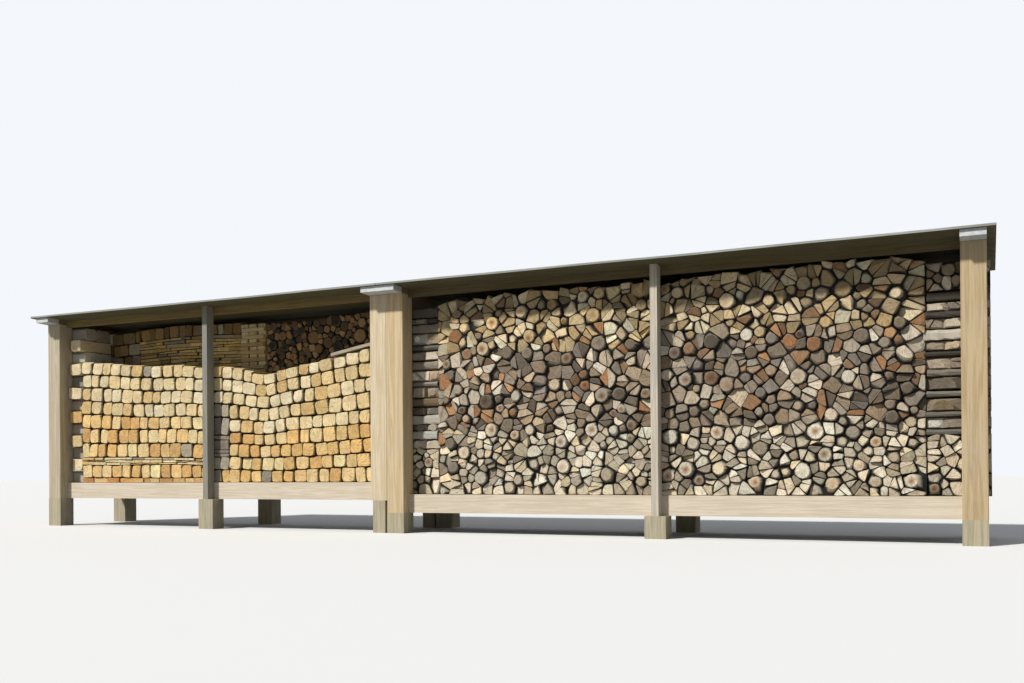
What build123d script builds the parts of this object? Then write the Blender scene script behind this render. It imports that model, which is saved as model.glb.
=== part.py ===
from build123d import *

# A log store for split firewood: two open timber frames stand end to end under one thin
# roof that falls gently to the back. Millimetres, +Z up. The long open front faces -Y,
# X runs along it, and the origin is on the ground below the middle of the roof.
import os
from math import cos, radians, sin, tan

os.makedirs("parts", exist_ok=True)

# The two frames, measured over their corner posts
left_length = 3950
right_length = 4575
frame_depth = 1000
post_size = 160
post_chamfer = 4

# The slim posts that divide each frame into two bays, from the frame's left end
left_divider_at = 2002
right_divider_at = 2323
divider_width = 55

# Heights above the level ground that the lowest foot stands on
right_rail_bottom = 170
left_step_up = 103
rail_height = 152
rail_thickness = 50
rail_inset = 90

# Foot blocks under the posts
corner_foot_width = 160
inner_foot_width = 120
divider_foot_width = 165
divider_foot_depth = 150

# Floor of loose boards on bearers, flush with the top of the rails
floor_board_width = 120
floor_board_thickness = 28
floor_board_count = 5
bearer_width = 60
bearer_height = 90
bearer_count = 5

# Roof
roof_front_height = 2073
roof_thickness = 20
roof_fall = 2.5
roof_overhang = 160
roof_end_overhang = 58
tie_thickness = 45
tie_overhang = 140
eaves_beam_height = 62

# Firewood: two rows of logs fill the depth between the rails, with a gap between them
row_gap = 55
stack_setback = 5
back_row_clearance = 10
stack_clearance = 8

# Cribs that end the stacks: sawn blocks on the left, split logs in the middle and on the right
block_crib_size = 121
block_crib_length = 340
log_crib_size = 84
log_crib_length = 400
log_crib_bulge = 20
crib_clearance = 3
crib_gap_share = 0.6
right_crib_first_long_layer = 5
right_crib_last_long_layer = 15

# Tops of the two low stacks, above the floor, at even steps from left to right
bay_1_tops = (1210, 1185, 1150, 1120, 1115, 1060)
bay_2_tops = (1100, 1060, 985, 1045, 1076, 1128, 1180)

# Where the courses of the two low stacks meet, as shares of the height of the stack
bay_1_joints = (0.04, 0.15, 0.21, 0.33, 0.45, 0.56, 0.67, 0.78, 0.89)
bay_2_joints = (0.11, 0.22, 0.33, 0.44, 0.55, 0.67, 0.78, 0.89)
joint_height = 12
joint_depth = 25

# How far the tops of the full stacks lie below what is over them, from left to right
bay_3_drops = (30, 40, 10, 20, 25, 5)
bay_4_drops = (40, 10, 20, 5, 0, 15)
bay_1_back_drops = (180, 60, 10, 15, 30)
bay_2_back_drops = (20, 70, 60, 25, 5)
bay_3_back_drops = (10, 35, 20, 30, 10)
bay_4_back_drops = (15, 25, 5, 30, 20)

# Bigger logs that stand proud of the outer faces of the other stacks, about this far apart
proud_log_pitch = 310
proud_log_depth = 22
proud_log_radius = 46
proud_log_spread = 10
proud_log_sides = 6
proud_log_sway = 0.2

# The short board that lies on the rising end of the second stack, and its reach there
leaning_board_reach = 1.45
leaning_board_width = 110
leaning_board_thickness = 26
leaning_board_inset = 30

total_length = left_length + right_length
left_start = -total_length / 2
left_end = left_start + left_length
right_start = left_end
right_end = right_start + right_length
left_divider_x = left_start + left_divider_at
right_divider_x = right_start + right_divider_at
half_depth = frame_depth / 2
roof_half_depth = half_depth + roof_overhang
slope = tan(radians(roof_fall))
left_rail_bottom = right_rail_bottom + left_step_up


def roof_underside(y):
    return roof_front_height - roof_thickness - (y + roof_half_depth) * slope


def tie_underside(y):
    return roof_underside(y) - tie_thickness


def save(builder, name):
    builder.part.label = name
    export_step(builder.part, f"parts/{name}.step")


# For each frame: name, left end, right end, rail bottom, centre of the dividing post
frames = (
    ("left", left_start, left_end, left_rail_bottom, left_divider_x),
    ("right", right_start, right_end, right_rail_bottom, right_divider_x),
)

# Corner posts: planed square timber, with the top cut to the fall of the roof
for frame_name, start, end, rail_bottom, divider in frames:
    for end_name, x in (("left", start), ("right", end - post_size)):
        for side_name, y in (("front", -half_depth), ("back", half_depth - post_size)):
            with BuildPart() as corner_post:
                with BuildSketch(Plane.YZ.offset(x)):
                    with BuildLine():
                        Polyline(
                            (y, rail_bottom),
                            (y + post_size, rail_bottom),
                            (y + post_size, tie_underside(y + post_size)),
                            (y, tie_underside(y)),
                            close=True,
                        )
                    make_face()
                extrude(amount=post_size)
                chamfer(corner_post.edges().filter_by(Axis.Z), length=post_chamfer)
            save(corner_post, f"{frame_name}_frame_{end_name}_{side_name}_post")

# Dividing posts: slim sawn posts that stand in front of the rails and the eaves beams
for frame_name, start, end, rail_bottom, divider in frames:
    for side_name, y in (("front", -half_depth), ("back", half_depth - rail_inset)):
        with BuildPart() as divider_post:
            with BuildSketch(Plane.YZ.offset(divider - divider_width / 2)):
                with BuildLine():
                    Polyline(
                        (y, rail_bottom),
                        (y + rail_inset, rail_bottom),
                        (y + rail_inset, roof_underside(y + rail_inset)),
                        (y, roof_underside(y)),
                        close=True,
                    )
                make_face()
            extrude(amount=divider_width)
        save(divider_post, f"{frame_name}_frame_{side_name}_divider")

# Foot blocks: one front and one back block under each line of posts
feet = (
    ("left_end", left_start + post_size / 2, corner_foot_width, post_size, left_rail_bottom),
    ("left_divider", left_divider_x, divider_foot_width, divider_foot_depth, left_rail_bottom),
    ("left_inner", left_end - post_size / 2, inner_foot_width, post_size, left_rail_bottom),
    ("right_inner", right_start + post_size / 2, corner_foot_width, post_size, right_rail_bottom),
    ("right_divider", right_divider_x, divider_foot_width, divider_foot_depth, right_rail_bottom),
    ("right_end", right_end - post_size / 2, corner_foot_width, post_size, right_rail_bottom),
)
for foot_name, x, width, foot_depth, height in feet:
    with BuildPart() as foot_pair:
        with BuildSketch(Plane.XY):
            with Locations((x, -half_depth + foot_depth / 2), (x, half_depth - foot_depth / 2)):
                Rectangle(width, foot_depth)
        extrude(amount=height)
    save(foot_pair, f"{foot_name}_foot_blocks")

# Long bottom rails between the corner posts, inset from their faces
for frame_name, start, end, rail_bottom, divider in frames:
    for side_name, y in (
        ("front", -half_depth + rail_inset),
        ("back", half_depth - rail_inset - rail_thickness),
    ):
        with BuildPart() as long_rail:
            with BuildSketch(Plane.YZ.offset(start + post_size)):
                with Locations((y, rail_bottom)):
                    Rectangle(rail_thickness, rail_height, align=Align.MIN)
            extrude(amount=end - start - 2 * post_size)
        save(long_rail, f"{frame_name}_frame_{side_name}_rail")

# Short end rails between the front and back corner posts
for frame_name, start, end, rail_bottom, divider in frames:
    with BuildPart() as end_rails:
        with BuildSketch(Plane.XZ.offset(-half_depth + post_size)):
            with Locations(
                (start + rail_inset, rail_bottom),
                (end - rail_inset - rail_thickness, rail_bottom),
            ):
                Rectangle(rail_thickness, rail_height, align=Align.MIN)
        extrude(amount=frame_depth - 2 * post_size)
    save(end_rails, f"{frame_name}_frame_end_rails")

# Bearers across each frame, from rail to rail, and the floor boards that lie on them
bearer_length = frame_depth - 2 * (rail_inset + rail_thickness)
floor_depth = frame_depth - 2 * post_size
for frame_name, start, end, rail_bottom, divider in frames:
    floor_start = start + rail_inset + rail_thickness
    floor_length = end - start - 2 * (rail_inset + rail_thickness)
    floor_top = rail_bottom + rail_height
    bearer_step = (end - start - 2 * post_size - bearer_width) / (bearer_count - 1)
    with BuildPart() as bearers:
        with BuildSketch(Plane.XY.offset(floor_top - floor_board_thickness - bearer_height)):
            with Locations(((start + end) / 2, 0)):
                with GridLocations(bearer_step, bearer_length, bearer_count, 1):
                    Rectangle(bearer_width, bearer_length)
        extrude(amount=bearer_height)
    save(bearers, f"{frame_name}_frame_bearers")

    board_step = (floor_depth - floor_board_width) / (floor_board_count - 1)
    with BuildPart() as floor_boards:
        with BuildSketch(Plane.XY.offset(floor_top - floor_board_thickness)):
            with Locations((floor_start + floor_length / 2, 0)):
                with GridLocations(floor_length, board_step, 1, floor_board_count):
                    Rectangle(floor_length, floor_board_width)
        extrude(amount=floor_board_thickness)
    save(floor_boards, f"{frame_name}_frame_floor_boards")

# Eaves beams between the corner posts, with the top planed to the fall of the roof
for frame_name, start, end, rail_bottom, divider in frames:
    for side_name, y, outer in (
        ("front", -half_depth + rail_inset, -half_depth + rail_inset),
        ("back", half_depth - rail_inset - rail_thickness, half_depth - rail_inset),
    ):
        beam_bottom = roof_underside(outer) - eaves_beam_height
        with BuildPart() as eaves_beam:
            with BuildSketch(Plane.YZ.offset(start + post_size)):
                with BuildLine():
                    Polyline(
                        (y, beam_bottom),
                        (y + rail_thickness, beam_bottom),
                        (y + rail_thickness, roof_underside(y + rail_thickness)),
                        (y, roof_underside(y)),
                        close=True,
                    )
                make_face()
            extrude(amount=end - start - 2 * post_size)
        save(eaves_beam, f"{frame_name}_frame_{side_name}_eaves_beam")

# Tie planks on top of each pair of corner posts, with ends that show below the roof
tie_half = half_depth + tie_overhang
for frame_name, start, end, rail_bottom, divider in frames:
    for end_name, x in (("left", start), ("right", end - post_size)):
        with BuildPart() as tie_plank:
            with BuildSketch(Plane.YZ.offset(x)):
                with BuildLine():
                    Polyline(
                        (-tie_half, tie_underside(-tie_half)),
                        (tie_half, tie_underside(tie_half)),
                        (tie_half, roof_underside(tie_half)),
                        (-tie_half, roof_underside(-tie_half)),
                        close=True,
                    )
                make_face()
            extrude(amount=post_size)
        save(tie_plank, f"{frame_name}_frame_{end_name}_tie_plank")

# Roof decks of thin boards, one for each frame
for deck_name, deck_start, deck_end in (
    ("left", left_start - roof_end_overhang, left_end),
    ("right", right_start, right_end + roof_end_overhang),
):
    with BuildPart() as roof_deck:
        with BuildSketch(Plane.YZ.offset(deck_start)):
            with BuildLine():
                Polyline(
                    (-roof_half_depth, roof_underside(-roof_half_depth)),
                    (roof_half_depth, roof_underside(roof_half_depth)),
                    (roof_half_depth, roof_underside(roof_half_depth) + roof_thickness),
                    (-roof_half_depth, roof_front_height),
                    close=True,
                )
            make_face()
        extrude(amount=deck_end - deck_start)
    save(roof_deck, f"{deck_name}_roof_deck")

# The rows of firewood, from the front of the front row to the back of the back row
left_floor = left_rail_bottom + rail_height
right_floor = right_rail_bottom + rail_height
front_row_y = -half_depth + rail_inset + stack_setback
back_row_end = half_depth - rail_inset - rail_thickness - back_row_clearance
log_length = (back_row_end - front_row_y - row_gap) / 2
back_row_y = back_row_end - log_length
beam_underside = roof_underside(-half_depth + rail_inset) - eaves_beam_height
full_stack_top = beam_underside - stack_clearance
back_soffit = roof_underside(back_row_end) - stack_clearance

# Cribs: towers of logs laid crosswise in turn, which end the stacks behind the corner posts.
# Each crib is a front and a back tower. In the right crib only the middle layers cross.
crib_depth = half_depth - post_size - 2 * crib_clearance
tower_limit = tie_underside(crib_depth) - stack_clearance
right_crib_x = right_end + log_crib_bulge - log_crib_length
left_crib_top = left_floor + bay_1_tops[0]
for crib_name, x, length, log_size, floor, front_top, long_count, cross_count, first_long, last_long in (
    ("left_end", left_start, block_crib_length, block_crib_size, left_floor, left_crib_top, 2, 2, 0, 99),
    ("middle", right_start, log_crib_length, log_crib_size, right_floor, tower_limit, 3, 4, 0, 99),
    ("right_end", right_crib_x, log_crib_length, log_crib_size, right_floor, tower_limit, 3, 4,
     right_crib_first_long_layer, right_crib_last_long_layer),
):
    long_width = min(log_size, crib_depth / (long_count + crib_gap_share))
    cross_width = min(log_size, length / (cross_count + crib_gap_share))
    long_step = (crib_depth - long_width) / (long_count - 1)
    cross_step = (length - cross_width) / (cross_count - 1)
    front_layers = int((front_top - floor) / log_size)
    back_layers = int((tower_limit - floor) / log_size)
    with BuildPart() as crib:
        for layer in range(back_layers):
            with BuildSketch(Plane.XY.offset(floor + layer * log_size)):
                for tower_y, tower_layers in (
                    (-crib_depth - crib_clearance, front_layers),
                    (crib_clearance, back_layers),
                ):
                    if layer < tower_layers:
                        with Locations((x + length / 2, tower_y + crib_depth / 2)):
                            if layer % 2 == 0 and first_long <= layer <= last_long:
                                with GridLocations(long_step, long_step, 1, long_count):
                                    Rectangle(length, long_width)
                            else:
                                with GridLocations(cross_step, cross_step, cross_count, 1):
                                    Rectangle(cross_width, crib_depth)
        extrude(amount=log_size)
    save(crib, f"{crib_name}_crib")

# Stacks of firewood: rows of logs that lie front to back, each with its own uneven top
left_stack_start = left_start + block_crib_length + crib_clearance
left_stack_end = left_end - post_size - crib_clearance
right_stack_start = right_start + log_crib_length + crib_clearance
right_stack_end = right_crib_x - crib_clearance


def tops_under(limit, drops):
    return [limit - drop for drop in drops]


def tops_over(floor, heights):
    return [floor + height for height in heights]


def stack_line(x_start, x_end, heights):
    step = (x_end - x_start) / (len(heights) - 1)
    return [(x_start + index * step, height) for index, height in enumerate(heights)]


# The two low stacks of sawn blocks, with a groove along each joint between their courses
for stack_name, x_start, x_end, heights, joints in (
    ("bay_1_front", left_stack_start, left_divider_x, bay_1_tops, bay_1_joints),
    ("bay_2_front", left_divider_x, left_stack_end, bay_2_tops, bay_2_joints),
):
    with BuildPart() as block_stack:
        with BuildSketch(Plane.XZ.offset(-front_row_y)):
            with BuildLine():
                top_line = stack_line(x_start, x_end, tops_over(left_floor, heights))
                Polyline((x_start, left_floor), *top_line, (x_end, left_floor), close=True)
            make_face()
        extrude(amount=-log_length)
        with BuildSketch(Plane.XZ.offset(-front_row_y)):
            for share in joints:
                low_heights = [left_floor + height * share - joint_height / 2 for height in heights]
                high_heights = [height + joint_height for height in low_heights]
                low_line = stack_line(x_start, x_end, low_heights)
                high_line = stack_line(x_start, x_end, high_heights)
                with BuildLine():
                    Polyline(*low_line, *reversed(high_line), close=True)
                make_face()
        extrude(amount=-joint_depth, mode=Mode.SUBTRACT)
    save(block_stack, f"{stack_name}_stack")


def proud_logs(x_start, x_end, floor, top, phase):
    columns = int((x_end - x_start) / proud_log_pitch)
    rows = int((top - floor) / proud_log_pitch)
    places = []
    for column in range(columns):
        for row in range(rows):
            sway_x = proud_log_sway * sin(5.1 * column + 3.7 * row + phase)
            sway_z = proud_log_sway * cos(4.3 * column + 2.9 * row + phase)
            x = x_start + (x_end - x_start) * (column + 0.5 + sway_x) / columns
            z = floor + (top - floor) * (row + 0.5 + sway_z) / rows
            radius = proud_log_radius + proud_log_spread * sin(2.3 * column + 5.9 * row + phase)
            places.append((x, z, radius))
    return places


# The other stacks, of split logs and rounds: the bigger logs stand proud of the outer face
front_face = front_row_y + proud_log_depth
back_face = back_row_end - proud_log_depth
for phase, (stack_name, x_start, x_end, floor, mass_start, mass_end, outer, tops) in enumerate((
    ("bay_3_front", right_stack_start, right_divider_x, right_floor, front_face, front_row_y + log_length,
     front_row_y, tops_under(full_stack_top, bay_3_drops)),
    ("bay_4_front", right_divider_x, right_stack_end, right_floor, front_face, front_row_y + log_length,
     front_row_y, tops_under(full_stack_top, bay_4_drops)),
    ("bay_1_back", left_stack_start, left_divider_x, left_floor, back_row_y, back_face,
     back_face, tops_under(back_soffit, bay_1_back_drops)),
    ("bay_2_back", left_divider_x, left_stack_end, left_floor, back_row_y, back_face,
     back_face, tops_under(back_soffit, bay_2_back_drops)),
    ("bay_3_back", right_stack_start, right_divider_x, right_floor, back_row_y, back_face,
     back_face, tops_under(back_soffit, bay_3_back_drops)),
    ("bay_4_back", right_divider_x, right_stack_end, right_floor, back_row_y, back_face,
     back_face, tops_under(back_soffit, bay_4_back_drops)),
)):
    with BuildPart() as log_stack:
        with BuildSketch(Plane.XZ.offset(-mass_start)):
            with BuildLine():
                top_line = stack_line(x_start, x_end, tops)
                Polyline((x_start, floor), *top_line, (x_end, floor), close=True)
            make_face()
        extrude(amount=mass_start - mass_end)
        with BuildSketch(Plane.XZ.offset(-outer)):
            for x, z, radius in proud_logs(x_start, x_end, floor, min(tops), phase):
                with Locations((x, z)):
                    RegularPolygon(radius=radius, side_count=proud_log_sides, rotation=x % 60)
        extrude(amount=-proud_log_depth)
    save(log_stack, f"{stack_name}_stack")

# Leaning board: an offcut on the rising end of the second stack, over one and a half of the
# even steps of the stack's top, which are in one line there
rise_step = (left_stack_end - left_divider_x) / (len(bay_2_tops) - 1)
rise_end = left_stack_end - leaning_board_inset
rise_start = rise_end - leaning_board_reach * rise_step
rise_slope = (bay_2_tops[-1] - bay_2_tops[-2]) / rise_step


def rise_height(x):
    return left_floor + bay_2_tops[-1] + (x - left_stack_end) * rise_slope


with BuildPart() as leaning_board:
    with BuildSketch(Plane.XZ.offset(-front_row_y)):
        with BuildLine():
            Polyline(
                (rise_start, rise_height(rise_start)),
                (rise_end, rise_height(rise_end)),
                (rise_end, rise_height(rise_end) + leaning_board_thickness),
                (rise_start, rise_height(rise_start) + leaning_board_thickness),
                close=True,
            )
        make_face()
    extrude(amount=-leaning_board_width)
save(leaning_board, "leaning_board")
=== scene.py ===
import random
from functools import partial
from math import atan2, cos, pi, radians, sin, sqrt, tan

import bpy
from mathutils import Matrix, Vector


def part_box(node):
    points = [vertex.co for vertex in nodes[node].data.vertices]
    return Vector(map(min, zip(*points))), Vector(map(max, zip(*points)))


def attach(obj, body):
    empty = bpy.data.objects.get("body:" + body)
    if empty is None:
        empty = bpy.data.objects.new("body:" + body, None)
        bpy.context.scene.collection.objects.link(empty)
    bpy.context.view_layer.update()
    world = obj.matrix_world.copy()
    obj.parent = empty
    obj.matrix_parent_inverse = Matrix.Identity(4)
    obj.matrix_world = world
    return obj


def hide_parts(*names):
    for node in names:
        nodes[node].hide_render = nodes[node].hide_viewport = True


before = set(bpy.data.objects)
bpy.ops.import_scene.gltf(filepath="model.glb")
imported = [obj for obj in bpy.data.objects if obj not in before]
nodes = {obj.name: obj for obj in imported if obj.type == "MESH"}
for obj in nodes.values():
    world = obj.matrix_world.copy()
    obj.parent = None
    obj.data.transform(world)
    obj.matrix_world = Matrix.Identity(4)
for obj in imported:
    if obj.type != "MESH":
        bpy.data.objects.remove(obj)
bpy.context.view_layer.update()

# Foot blocks, bearers and floor boards: offcuts of old sawn spruce under the posts, and the
# rough boards that carry the firewood. They are grey-brown, dry and coarse, with long grain.
FEET = ("left_end", "left_divider", "left_inner", "right_inner", "right_divider", "right_end")
FOOT_PALE = "#B9B199"
FOOT_DARK = "#938A72"
FIBRE_MM = 3
GRAIN_STRETCH = 0.035     # patterns are about thirty times as long as wide


def linear(colour):
    parts = [int(colour[start:start + 2], 16) / 255 for start in (1, 3, 5)]
    return [part / 12.92 if part <= 0.04045 else ((part + 0.055) / 1.055) ** 2.4 for part in parts] + [1]


def add_node(tree, kind, settings=None, links=None):
    # A kind may say what it does, as in "Math SINE", and a range is a pair. A link starts at a
    # socket or at the first output of a node, and one that comes alone ends at the first input
    kind, _, use = kind.partition(" ")
    made = tree.nodes.new("ShaderNode" + kind)
    if use:
        setattr(made, "data_type" if kind == "Mix" else "operation", use)
    for name, value in (settings or {}).items():
        if isinstance(name, str) and hasattr(made, name):
            setattr(made, name, value)
        elif name in ("From", "To"):
            made.inputs[name + " Min"].default_value, made.inputs[name + " Max"].default_value = value
        else:
            made.inputs[name].default_value = value
    if not isinstance(links or {}, dict):
        links = {0: links}
    for name, source in (links or {}).items():
        tree.links.new(getattr(source, "outputs", [source])[0], made.inputs[name])
    return made


def new_material(name):
    made = bpy.data.materials.new(name)
    made.use_nodes = True
    made.node_tree.nodes.clear()
    return made, partial(add_node, made.node_tree)


def finish_material(add, colour, height, roughness, bump_mm):
    bump = add("Bump", {"Strength": 0.7, "Distance": bump_mm / 1000}, {"Height": height})
    shader = add("BsdfPrincipled", {"Roughness": roughness, "IOR": 1.45},
                 {"Base Color": colour, "Normal": bump})
    add("OutputMaterial", {}, shader)


def set_ramp(node, *stops):
    for element, (position, colour) in zip(node.color_ramp.elements, stops):
        element.position = position
        element.color = linear(colour)


def timber(name, pale, dark, grain, ring_mm=8, roughness=0.9, wear="#8F8A80", wear_share=0.25,
           sheltered_shade_to=None):
    # Sawn or planed softwood: growth rings run as wavering bands along the grain, with fine fibres
    # between them and broad patches greyed by rain and sun. Up to some way from the middle of the depth,
    # sheltered wood is painted darker brown, for wood that the weather has not greyed and as painted
    # shade under the roof
    made, add = new_material(name)
    place = add("TexCoord").outputs["Object"]
    stretch = [GRAIN_STRETCH if axis == grain else 1 for axis in "XYZ"]
    drawn = add("Mapping", {"Scale": stretch}, place)
    rings = add("TexNoise", {"Scale": 1000 / ring_mm / 4, "Detail": 3, "Distortion": 0.6}, drawn)
    bands = add("Math MULTIPLY", {1: 26}, rings)
    waves = add("Math SINE", {}, bands)
    fibres = add("TexNoise", {"Scale": 1000 / FIBRE_MM, "Detail": 4, "Roughness": 0.65}, drawn)
    patches = add("TexNoise", {"Scale": 2.6, "Detail": 4, "Roughness": 0.6}, place)
    lines = add("MapRange", {"From": (-1, 1), "To": (0, 0.35)}, waves)
    both = add("Math MULTIPLY_ADD", {1: 0.75}, {0: fibres, 2: lines})
    mixed = add("ValToRGB", {}, both)
    set_ramp(mixed, (0.25, pale), (0.95, dark))
    greyed = add("MapRange", {"From": (0.45, 0.75), "To": (0, wear_share)}, patches)
    colour = add("Mix RGBA", {7: linear(wear)}, {0: greyed, 6: mixed}).outputs[2]
    if sheltered_shade_to:
        # Painted darker brown under the roof: unweathered wood, and painted shade there
        depth = add("SeparateXYZ", {}, place)
        away = add("Math ABSOLUTE", {}, depth.outputs["Y"])
        shelter_shade = add("MapRange", {"From": (sheltered_shade_to, sheltered_shade_to + 0.02), "To": (1, 0)}, away)
        colour = add("Mix RGBA", {"blend_type": "MULTIPLY", 7: linear("#9A8660")}, {0: shelter_shade, 6: colour}).outputs[2]
    finish_material(add, colour, both, roughness, 1.2)
    return made


def dress(material, names):
    for name in names:
        mesh = nodes[name].data
        mesh.materials.clear()
        mesh.materials.append(material)


def in_frames(*parts):
    return [f"{unit}_frame_{part}" for unit in ("left", "right") for part in parts]


dress(timber("weathered_spruce_block", FOOT_PALE, FOOT_DARK, "Z", wear_share=0.5),
      [foot + "_foot_blocks" for foot in FEET])
dress(timber("rough_spruce_bearer", FOOT_PALE, FOOT_DARK, "Y"), in_frames("bearers"))
dress(timber("rough_spruce_floor", FOOT_PALE, FOOT_DARK, "X"), in_frames("floor_boards"))

# Corner posts: planed square larch, warm beige in the sun, with upright grain and a slight
# bevel. Each pair has its own tone, and the pair at the right end is the darkest.
POST_TONES = (("left_frame_left", "#C3B8A2", "#9F917A"), ("left_frame_right", "#D8CBB2", "#B7A27E"),
              ("right_frame_left", "#D2BF9D", "#AE9670"), ("right_frame_right", "#C2AF8C", "#9B8562"))
for place, pale, dark in POST_TONES:
    dress(timber("planed_larch_" + place, pale, dark, "Z", ring_mm=10, roughness=0.68, wear="#B5AA94",
                 wear_share=0.45), (place + "_front_post", place + "_back_post"))

# Bottom rails: planed spruce boards on edge between the posts, the palest timber of the frame,
# with grain along them. The end rails are the same boards turned along the depth.
RAIL_PALE = "#D8CDBC"
RAIL_DARK = "#BBAE98"
dress(timber("planed_spruce_rail", RAIL_PALE, RAIL_DARK, "X", roughness=0.7, wear="#BCB2A0", wear_share=0.5),
      in_frames("front_rail", "back_rail"))
dress(timber("planed_spruce_end_rail", RAIL_PALE, RAIL_DARK, "Y", roughness=0.7), in_frames("end_rails"))

# Dividing posts: slim sawn spruce in front of rails and beams, silvered by the weather. Those of
# the left frame are the older and greyer ones.
DIVIDER_TONES = (("left", "#949389", "#73726A", "#82878C"), ("right", "#CFC7B8", "#A39B8D", "#9A9DA0"))
for unit, pale, dark, wear in DIVIDER_TONES:
    dress(timber(unit + "_silvered_spruce_post", pale, dark, "Z", ring_mm=6, roughness=0.85, wear=wear,
                 wear_share=0.5), [f"{unit}_frame_{side}_divider" for side in ("front", "back")])

# Eaves beams and tie planks: the beams are ochre-brown spruce, newer on the left frame, with their
# colours darkened as painted shade under the roof, most on the right frame. The ties are silvered
# where their ends show below the edge of the roof, and their sheltered middle is painted brown, for
# unweathered wood and as painted shade.
for unit, pale, dark in (("left", "#917A48", "#5F512C"), ("right", "#6A5D3A", "#463D25")):
    dress(timber(unit + "_spruce_beam_painted_shade", pale, dark, "X", roughness=0.8, wear_share=0.1),
          [f"{unit}_frame_{side}_eaves_beam" for side in ("front", "back")])
dress(timber("silvered_spruce_tie", "#DADFE3", "#AEB3B6", "Y", ring_mm=10, roughness=0.88, wear_share=0.2,
             sheltered_shade_to=0.50), in_frames("left_tie_plank", "right_tie_plank"))

# Roof boards: thin sawn spruce boards laid side by side along the roof, silver grey above and at
# the edges, and painted dark olive-brown underneath as the shade under the roof. The front and back
# ones have warped a little between the ties.
BOARD_COUNT = 8
BOARD_THICKNESS = 0.02
BOARD_GAP = 0.001
BOARD_EDGE = 0.0025
BOARD_CUTS = 24
BOARD_WARP = 0.005
END_CLEARANCE = 0.001
ROOF_FALL = radians(2.5)
roof_wood = timber("silvered_spruce_board", "#A6AAAA", "#80827E", "X", wear="#7C7B74", wear_share=0.4)
# Undersides of the boards: painted shade, dark olive-brown
soffit_painted_shade = timber("board_underside_painted_shade", "#595233", "#39351E", "X", wear_share=0.1)


def make_board(length, width, thickness):
    bpy.ops.mesh.primitive_cube_add(size=1, location=(length / 2, width / 2, thickness / 2))
    board = bpy.context.active_object
    board.scale = (length, width, thickness)
    bpy.ops.object.transform_apply()
    bpy.ops.object.mode_set(mode="EDIT")
    bpy.ops.mesh.bevel(offset=BOARD_EDGE)
    for cut in range(1, BOARD_CUTS):
        bpy.ops.mesh.select_all(action="SELECT")
        bpy.ops.mesh.bisect(plane_co=(length * cut / BOARD_CUTS, 0, 0), plane_no=(1, 0, 0))
    bpy.ops.object.mode_set(mode="OBJECT")
    return board


def lay_roof(unit, seed):
    rng = random.Random(seed)
    low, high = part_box(unit + "_roof_deck")
    length = high[0] - low[0]
    pitch = (high[1] - low[1]) / BOARD_COUNT
    pattern = make_board(length - 2 * END_CLEARANCE, pitch - BOARD_GAP, BOARD_THICKNESS - 0.001)
    boards = []
    for row in range(BOARD_COUNT):
        board = pattern.copy()
        board.data = pattern.data.copy()
        bpy.context.collection.objects.link(board)
        boards.append(board)
        y_start = low[1] + row * pitch + BOARD_GAP / 2
        phase = rng.uniform(0, 6.28)
        outer = row in (0, BOARD_COUNT - 1)
        for vertex in board.data.vertices:
            along = vertex.co.x
            across = vertex.co.y / pitch
            free = across if row else 1 - across
            sway = 0.5 + 0.5 * sin(along * 3.1 + phase) * cos(along * 1.3 + 2 * phase)
            span = sin(pi * along / length) ** 0.5 if 0 < along < length else 0
            drop = outer * BOARD_WARP * sway * max(free, 0) * span
            nip = rng.uniform(0, 0.0008)
            vertex.co.z += -drop - nip
            vertex.co.x += low[0] + END_CLEARANCE
            vertex.co.y += y_start
            vertex.co.z += high[2] - (vertex.co.y - low[1]) * tan(ROOF_FALL) - BOARD_THICKNESS
    bpy.data.objects.remove(pattern)
    bpy.ops.object.select_all(action="DESELECT")
    for board in boards:
        board.select_set(True)
    roof = bpy.context.view_layer.objects.active = boards[0]
    bpy.ops.object.join()
    roof.name = roof.data.name = unit + "_roof_boards"
    roof.data.materials.append(roof_wood)
    roof.data.materials.append(soffit_painted_shade)
    # Faces that look down take the dark board: painted shade under the roof
    for face in roof.data.polygons:
        face.material_index = 1 if face.normal.z < -0.3 and abs(face.normal.y) < 0.9 else 0
    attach(roof, "root")
    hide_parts(unit + "_roof_deck")


lay_roof("left", 11)
lay_roof("right", 12)

# Firewood: every log is its own short prism with a sawn face at each end, a nipped edge round it
# and bark or a split face along its sides. The outlines differ for blocks, split wood and rounds.
FACE_NIP = 0.003
BARK_NIP = 0.005          # bark shows as a dark rim round the sawn face
CLOSE_DEPTH = 0.045       # how far behind the face of a row its logs touch one another
BARE_DEPTH = 0.032        # how far below the top of a stack its logs lie in the light
RING_SPACING_MM = 5     # real rings are 1 to 3 mm wide, drawn coarser so that they show


def new_log_material(name):
    made, add = new_material(name)
    return made, add, add("UVMap", {"uv_map": "grain"}), add("Attribute", {"attribute_name": "tone"})


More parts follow.
